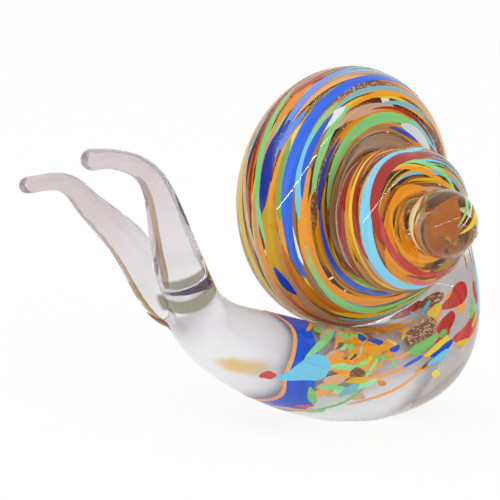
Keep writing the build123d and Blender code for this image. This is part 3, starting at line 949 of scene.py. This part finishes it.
def streak_glass(name, shades):
    """Opaque colour drawn out along the rope, with paler and deeper lines."""
    material, finish = new_material(name)
    tone = finish.add("ShaderNodeAttribute", {"attribute_name": "tone"}, {}, "Fac")
    dull = finish.add("ShaderNodeAttribute", {"attribute_name": "dull"}, {}, "Fac")
    broad = finish.noise(finish.place("UV", (0.5, 60, 1)), 1.0, 2)
    fine = finish.noise(finish.place("UV", (0.8, 240, 1)), 1.0, 2)
    level = tone + 0.6 * (broad - 0.5) + 0.45 * (fine - 0.5)
    stops = [(0.0, shades[0]), (0.5, shades[1]), (1.0, shades[2])]
    finish.end(finish.principled({
        "Base Color": finish.add("ShaderNodeValToRGB", {"stops": stops}, {"Fac": level}),
        "Roughness": 0.015 + 0.03 * broad + 0.6 * dull,
        "Normal": polish(finish),
    }))
    return material


def copper_glass(colours, shades):
    """Brown glass full of copper flakes."""
    material, finish = new_material("copper")
    where = finish.place("Object")
    flake = finish.add("ShaderNodeTexVoronoi", {}, {"Vector": where, "Scale": 2600.0}, "Color")
    value = finish.add("ShaderNodeSeparateColor", {}, {"Color": flake}, "Red")
    shine = finish.steps(value, 0.62, 0.72)
    cloud = finish.noise(where, 150, 2)
    brown = finish.mix(cloud, shades[0], shades[2])
    bump = finish.add("ShaderNodeBump", {}, {"Strength": 0.4, "Distance": 0.0003, "Height": value})
    finish.end(finish.principled({
        "Base Color": finish.mix(shine, brown, colours.flake),
        "Roughness": 0.4 - 0.2 * shine,
        "Metallic": 0.8 * shine,
        "Normal": bump,
    }))
    return material


def fused_joint():
    """The faces where two gathers are fused, which don't show."""
    material, finish = new_material("fused_joint")
    haze = finish.noise(finish.place("Object"), 200)
    finish.end(finish.principled({
        "Base Color": finish.mix(haze, (0.9, 0.9, 0.9), (0.88, 0.88, 0.88)), "Alpha": 0.0,
    }))
    return material


def material_of(name):
    """The material of that name, made when it is first asked for."""
    found = bpy.data.materials.get(f"snail_{name}")
    if found:
        return found
    colours = bpy.context.scene.snail_colours
    makers = {
        "clear_glass": lambda: clear_glass(colours),
        "amber_glass": lambda: honey_glass(colours),
        "opal_glass": lambda: opal_glass(colours),
        "fused_joint": fused_joint,
    }
    if name in makers:
        found = makers[name]()
    else:
        shades = [tuple(getattr(colours, f"{name}_{shade}")) for shade in shade_names]
        found = copper_glass(colours, shades) if name == "copper" else streak_glass(name, shades)
    found.name = f"snail_{name}"
    return found


def finish_piece(piece, slot, *nodes):
    """Gives a piece its material, lets it ride, and hides the nodes that it stands for, if any."""
    if not piece.data.materials:
        piece.data.materials.append(material_of(slot))
    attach(piece, body)
    if nodes:
        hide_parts(*nodes)
    return piece


def spread(first, last, parts):
    """Places from the first to the last, that many equal parts apart."""
    return [first + (last - first) * step / parts for step in range(parts + 1)]


def mark_joint(piece, section):
    """Gives the fused material to the faces of a piece that lie across the rope at a section."""
    centre, first, second, radius = section
    ahead = first.cross(second)
    slack = bpy.context.scene.snail_sizes.joint_slack
    piece.data.materials.append(material_of("fused_joint"))
    for face in piece.data.polygons:
        offset = face.center - centre
        if abs(offset.dot(ahead)) < slack and offset.length < radius:
            face.material_index = 1


# Operators

class SnailOperator(bpy.types.Operator):
    """What the snail's operators share."""

    bl_options = {"REGISTER", "UNDO"}

    @property
    def rope(self):
        return Rope(bpy.context.scene.snail_sizes)

    @property
    def colour_inset(self):
        """Depth of the middle of a sheet of colour, below the rope's full radius."""
        sizes = bpy.context.scene.snail_sizes
        return sizes.glass_inset - sizes.colour_rise + sizes.colour_depth / 2


class SNAIL_OT_body_glass(SnailOperator):
    """Clear glass of the neck, foot and tail, with the horns melted into its head"""

    bl_idname = "snail.body_glass"
    bl_label = "Body glass"

    def execute(self, context):
        sizes, rope = context.scene.snail_sizes, self.rope
        inset = sizes.glass_inset
        sections = [rope.body(station) for station in spread(0, body_end, body_cuts)]
        sections += [rope.body(body_end + 0.3)]
        trunk = tube("trunk", sections, (True, False), inset)
        horns = []
        for shares, measures in ((near_shares, sizes.near_horn), (far_shares, sizes.far_horn)):
            section = rope.horn(shares, measures)
            places = spread(0, len(shares) - 1, horn_cuts)
            horns.append(tube("horn", [section(place) for place in places], (True, True)))
        piece = join("body_glass", [trunk, *horns])
        apply_modifier(piece, "REMESH", mode="VOXEL", voxel_size=sizes.skin)
        apply_modifier(piece, "SMOOTH", factor=0.5, iterations=16)
        self.cut(piece, (0, 0, 0), (0, 0, -1), lambda point: point.z < sizes.ground_reach)
        centre, rim, side, _ = rope.coil(coil_start)
        ahead = -rim.cross(side)
        lowest = centre.z - sizes.joint_reach
        self.cut(piece, centre, ahead, lambda point: point.x > 0 and point.z > lowest)
        piece.data.materials.append(material_of("clear_glass"))
        mark_joint(piece, rope.coil(coil_start))
        smooth(piece)
        finish_piece(piece, "clear_glass", "body_casing", "near_horn", "far_horn")
        return {"FINISHED"}

    @staticmethod
    def cut(piece, centre, ahead, near):
        """Cuts off what lies ahead of a plane, among the points near it, and closes the cut."""
        for point in piece.data.vertices:
            point.select = near(point.co)
        pick(piece)
        bpy.ops.object.mode_set(mode="EDIT")
        bpy.ops.mesh.select_mode(type="VERT")
        bpy.ops.mesh.bisect(plane_co=centre, plane_no=ahead, use_fill=True, clear_outer=True)
        bpy.ops.object.mode_set(mode="OBJECT")


class SNAIL_OT_opal_core(SnailOperator):
    """White opal core of the neck and foot"""

    bl_idname = "snail.opal_core"
    bl_label = "Opal core"

    def execute(self, context):
        rope = self.rope
        places = spread(core_start, core_end, core_cuts)
        piece = tube("white_core", [rope.core(place) for place in places], (True, True))
        smooth(piece)
        finish_piece(piece, "opal_glass", "opal_core")
        return {"FINISHED"}


class SNAIL_OT_shell_glass(SnailOperator):
    """Amber glass of the coil and the knob at its apex"""

    bl_idname = "snail.shell_glass"
    bl_label = "Shell glass"

    def execute(self, context):
        rope = self.rope
        places = spread(coil_start, coil_end, coil_cuts)
        piece = tube(
            "shell_glass", [rope.coil(place) for place in places], (False, True),
            context.scene.snail_sizes.glass_inset,
        )
        piece.data.materials.append(material_of("amber_glass"))
        mark_joint(piece, rope.coil(coil_start))
        smooth(piece)
        finish_piece(piece, "amber_glass", "shell_coil", "apex_knob")
        return {"FINISHED"}


class SNAIL_OT_streaks(SnailOperator):
    """Colours drawn out along the shell, a piece for each colour"""

    bl_idname = "snail.streaks"
    bl_label = "Streaks"

    def execute(self, context):
        sizes, rope = context.scene.snail_sizes, self.rope
        rng = Random(sizes.seed)
        sheets = {colour: [] for colour in streaks}
        top = self.colour_inset

        def lay(colour, row, inset, bow=0):
            sheets[colour].append(leaf(rope.coil, row, inset, rng, turn_cuts, turn_pitch, bow))

        for colour, row in self.lane_rows(sizes.lanes, *deep_lanes, deep_colours, rng):
            lay(colour, row, sizes.glass_inset + rng.uniform(*deep_depths))
        for colour, row in self.lane_rows(sizes.lanes, *top_lanes, lane_colours, rng):
            lay(colour, row, top + rng.uniform(*top_depths))
        for colour, row in self.thread_rows(sizes.threads, rng):
            lay(colour, row, top)
        for layer, (colour, rows) in enumerate(streaks.items(), 1):
            for row in rows:
                lay(colour, row[:6], top - layer * sizes.colour_step, *row[6:])
        for colour, parts in sheets.items():
            piece = join(f"{colour}_ribbons", parts)
            thicken(piece)
            finish_piece(piece, colour, f"{colour}_streaks")
        return {"FINISHED"}

    @staticmethod
    def lane_rows(lanes, last, tones, colours, rng):
        """Small streaks that fill the rope, in lanes round it, fewer, broader and warmer near the apex."""
        for lane in range(lanes):
            turn = coil_start - rng.uniform(0.0, lane_lead)
            while turn < last:
                end = min(turn + rng.uniform(*lane_lengths), last + lane_overrun)
                angle = 360 * (lane + rng.uniform(-lane_sway, lane_sway)) / lanes
                drift = rng.uniform(-lane_drift, lane_drift)
                small = turn > small_whorl
                width = rng.uniform(*lane_widths) * (apex_width_share if small else 1)
                colour = rng.choice(apex_colours if small else colours)
                if lane % 2 or not small:
                    tone = rng.uniform(*tones) * (apex_tone_share if small else 1)
                    yield colour, (turn, end, angle, angle + drift, width, tone)
                turn = end + rng.uniform(*lane_gaps)

    @staticmethod
    def thread_rows(threads, rng):
        """Fine threads of colour, at random."""
        for _ in range(threads):
            start = rng.uniform(*thread_starts)
            end = start + rng.uniform(*thread_lengths)
            angle = rng.uniform(*thread_angles)
            last = angle + rng.uniform(*thread_sway)
            row = (start, end, angle, last, rng.uniform(*thread_widths), rng.random())
            yield rng.choice(lane_colours), row


class SNAIL_OT_chips(SnailOperator):
    """Chips and smears of colour on the body, a piece for each colour"""

    bl_idname = "snail.chips"
    bl_label = "Chips"

    def execute(self, context):
        sizes, rope = context.scene.snail_sizes, self.rope
        rng = Random(sizes.seed + 1)
        rows = {colour: list(known) for colour, known in chips.items()}
        for _ in range(sizes.scatter):
            start = rng.uniform(*scatter_starts)
            rows[rng.choice(scatter_colours)].append(self.random_row(rng, start, *scatter_range))
        for _ in range(sizes.crumbs):
            start = rng.uniform(*crumb_starts)
            rows[rng.choice(crumb_colours)].append(self.random_row(rng, start, *crumb_range))
        for _ in range(sizes.smears):
            colour = rng.choice(smear_colours)
            rows[colour].insert(0, self.random_row(rng, rng.uniform(*smear_starts), *smear_range))
        for layer, (colour, wanted) in enumerate(rows.items()):
            inset = self.colour_inset - layer * sizes.colour_step
            sheets = []
            for row in wanted:
                nose = row[6] if len(row) > 6 else 1
                sheet = leaf(
                    rope.body, row[:6], inset, rng, station_cuts, station_pitch, nose=nose, blunt=chip_tips,
                )
                sheets.append(sheet)
            if colour == "red":
                horn = rope.horn(far_shares, sizes.far_horn)
                sheets.append(leaf(horn, horn_chip, 0, Random(sizes.seed), station_cuts, station_pitch))
            piece = join(f"{colour}_flecks", sheets)
            thicken(piece)
            finish_piece(piece, colour, *(node for node in frame["nodes"] if node == f"{colour}_chips"))
        return {"FINISHED"}

    @staticmethod
    def random_row(rng, start, longest, angles, widest, slope=0, palest=0):
        """A chip of random length, angle, width and tone."""
        reach = rng.uniform(least_length_share, 1) * longest
        angle = rng.uniform(*angles)
        last = angle + slope * reach + rng.uniform(-chip_sway, chip_sway)
        width = rng.uniform(least_width_share, 1) * widest
        return start, start + reach, angle, last, width, rng.uniform(palest, 1)


class SNAIL_OT_neck_wraps(SnailOperator):
    """Cobalt band and orange threads wrapped round the neck"""

    bl_idname = "snail.neck_wraps"
    bl_label = "Neck wraps"

    def execute(self, context):
        sizes = context.scene.snail_sizes
        inset = self.colour_inset + sizes.band_drop
        band = self.wrap("neck_wrap", (1, 0.0), (2, 0.0), inset, 0.35)
        thicken(band)
        finish_piece(band, "cobalt", "neck_band")
        raised = inset - sizes.thread_lift
        first = [(1, edge) for edge in first_edges]
        second = [(2, edge) for edge in second_edges]
        threads = [
            self.wrap("thread", *first, raised, 0.9),
            self.wrap("thread", *second, raised, 0.7, *second_span),
        ]
        lines = join("neck_lines", threads)
        thicken(lines)
        finish_piece(lines, "orange", "neck_threads")
        return {"FINISHED"}

    def wrap(self, name, low, high, inset, tone, first=-180, last=180):
        """A sheet round the neck, between two edges given by a column of the wraps and a shift."""
        rope = self.rope

        def place(share, across):
            angle = first + (last - first) * share
            ends = [along(wrap_shares, column, angle) + shift for column, shift in (low, high)]
            return sheet_spot(rope.body(ends[0] + (ends[1] - ends[0]) * across), angle, inset)

        piece = wrapped_grid(name, *wrap_cuts, place)
        mark(piece, tone, lambda share, across: (6 * share, 0.1 * across))
        edit(piece, lambda: bpy.ops.mesh.remove_doubles(threshold=1e-6))
        return piece


class SNAIL_OT_stage(SnailOperator):
    """Floor, light and camera"""

    bl_idname = "snail.stage"
    bl_label = "Stage"

    def execute(self, context):
        stage = context.scene.snail_stage
        self.add_floor(stage)
        self.light_world(context.scene, stage)
        self.add_lamps(stage)
        self.add_camera(context.scene, stage)
        context.scene.view_settings.view_transform = "Standard"
        cycles = context.scene.cycles
        cycles.max_bounces = cycles.transmission_bounces = stage.glass_bounces
        cycles.glossy_bounces = stage.glossy_bounces
        cycles.diffuse_bounces = stage.diffuse_bounces
        cycles.blur_glossy = 0
        return {"FINISHED"}

    def axes(self, stage):
        """Right, up and back axes of the camera."""
        turned, raised = radians(stage.azimuth), radians(stage.elevation)
        back = Vector((sin(turned) * cos(raised), -cos(turned) * cos(raised), sin(raised)))
        right = Vector((cos(turned), sin(turned), 0))
        up = back.cross(right)
        rolled = radians(stage.roll)
        return right * cos(rolled) + up * sin(rolled), up * cos(rolled) - right * sin(rolled), back

    def add_floor(self, stage):
        """A white floor that keeps the object's soft shadow."""
        deselect()
        bpy.ops.mesh.primitive_plane_add(size=stage.floor_size, location=(0, 0, -floor_drop))
        ground = bpy.context.object
        ground.name = "floor"
        material, finish = new_material("floor")
        path = "ShaderNodeLightPath"
        seen = (
            finish.add(path, {}, {}, "Is Camera Ray")
            + finish.add(path, {}, {}, "Is Glossy Ray")
            + finish.add(path, {}, {}, "Is Transmission Ray")
        )
        white = finish.mix(finish.noise(finish.place("Object"), 3), *floor_tints)
        paint = finish.add("ShaderNodeBsdfDiffuse", {}, {"Color": white})
        glow = finish.add("ShaderNodeEmission", {}, {"Color": (1, 1, 1), "Strength": 1.0})
        share = finish.least(stage.glow * seen, stage.glow)
        finish.end(finish.add("ShaderNodeMixShader", {}, {0: share, 1: paint, 2: glow}))
        ground.data.materials.append(material)
        ground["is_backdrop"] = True

    def light_world(self, scene, stage):
        """A white room, whose dim sides show only in the glass."""
        world = bpy.data.worlds.new("studio")
        world.use_nodes = True
        scene.world = world
        finish = Finish(world.node_tree)
        right, _, _ = self.axes(stage)
        ray = finish.add("ShaderNodeTexCoord", {}, {}, "Generated")
        shade = finish.steps(abs(finish.measure("DOT_PRODUCT", ray, right)), *side_shares)
        studio = finish.mix(shade, (1.0, 1.0, 1.0), tuple(stage.side_shade))
        camera = finish.add("ShaderNodeLightPath", {}, {}, "Is Camera Ray")
        bounces = finish.add("ShaderNodeLightPath", {}, {}, "Diffuse Depth")
        soft = finish.least(bounces, 1.0)
        room = scaled((1, 1, 1), stage.room_light)
        colour = finish.mix(camera, finish.mix(soft, studio, room), (1, 1, 1))
        light = finish.add("ShaderNodeBackground", {}, {"Color": colour, "Strength": 1.0})
        finish.add("ShaderNodeOutputWorld", {}, {"Surface": light})

    def add_lamps(self, stage):
        """A long tube lamp behind the camera, and a soft box above it to the left."""
        right, up, _ = axes = self.axes(stage)
        tilt = radians(tube_tilt)
        across = right * cos(tilt) + up * sin(tilt)
        tube_offset, box_offset = (
            sum((axis * part for axis, part in zip(axes, place)), Vector())
            for place in (tube_place, box_place)
        )
        self.add_lamp("tube_lamp", stage, tube_offset, across, tube_size, stage.tube_light)
        self.add_lamp("soft_box", stage, box_offset, right, box_size, stage.soft_light)

    @staticmethod
    def add_lamp(name, stage, offset, across, size, brightness):
        """An oblong lamp that faces the target, with its long side across."""
        deselect()
        bpy.ops.object.light_add(type="AREA")
        lamp = bpy.context.object
        lamp.name = lamp.data.name = name
        lamp.data.shape = "RECTANGLE"
        lamp.data.size, lamp.data.size_y = size
        lamp.data.energy = brightness * pi * size[0] * size[1]
        facing = offset.normalized()
        across = (across - across.dot(facing) * facing).normalized()
        turn = Matrix((across, facing.cross(across), facing)).transposed().to_4x4()
        lamp.matrix_world = Matrix.Translation(Vector(stage.target) + offset) @ turn
        lamp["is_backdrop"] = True

    def add_camera(self, scene, stage):
        right, up, back = self.axes(stage)
        deselect()
        bpy.ops.object.camera_add()
        camera = bpy.context.object
        camera.data.lens = stage.lens
        camera.data.sensor_width = 36
        camera.data.clip_start = 0.01
        camera.data.clip_end = 2 * stage.floor_size
        turn = Matrix((right, up, back)).transposed().to_4x4()
        camera.matrix_world = Matrix.Translation(Vector(stage.target) + back * stage.distance) @ turn
        scene.camera = camera


class SNAIL_PT_panel(bpy.types.Panel):
    """Sizes, colours and operators of the snail"""

    bl_label = "Glass Snail"
    bl_idname = "SNAIL_PT_panel"
    bl_space_type = "VIEW_3D"
    bl_region_type = "UI"
    bl_category = "Glass Snail"

    def draw(self, context):
        for group in (context.scene.snail_sizes, context.scene.snail_colours, context.scene.snail_stage):
            box = self.layout.box()
            for name in group.__annotations__:
                box.prop(group, name)
        for operator in operators:
            self.layout.operator(operator.bl_idname)


operators = (
    SNAIL_OT_body_glass,
    SNAIL_OT_opal_core,
    SNAIL_OT_shell_glass,
    SNAIL_OT_streaks,
    SNAIL_OT_chips,
    SNAIL_OT_neck_wraps,
    SNAIL_OT_stage,
)
groups = {"snail_sizes": SnailSizes, "snail_colours": SnailColours, "snail_stage": SnailStage}


def register():
    for one in (*groups.values(), *operators, SNAIL_PT_panel):
        bpy.utils.register_class(one)
    for name, group in groups.items():
        setattr(bpy.types.Scene, name, PointerProperty(type=group))


def unregister():
    for name in groups:
        delattr(bpy.types.Scene, name)
    for one in (SNAIL_PT_panel, *reversed(operators), *groups.values()):
        bpy.utils.unregister_class(one)


def main():
    register()
    bpy.ops.snail.body_glass()
    bpy.ops.snail.opal_core()
    bpy.ops.snail.shell_glass()
    bpy.ops.snail.streaks()
    bpy.ops.snail.chips()
    bpy.ops.snail.neck_wraps()
    bpy.ops.snail.stage()
    boxes = {"cad": cad_box, "visual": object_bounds()}
    {name: [list(corner) for corner in box] for name, box in boxes.items()}


if __name__ == "__main__":
    main()
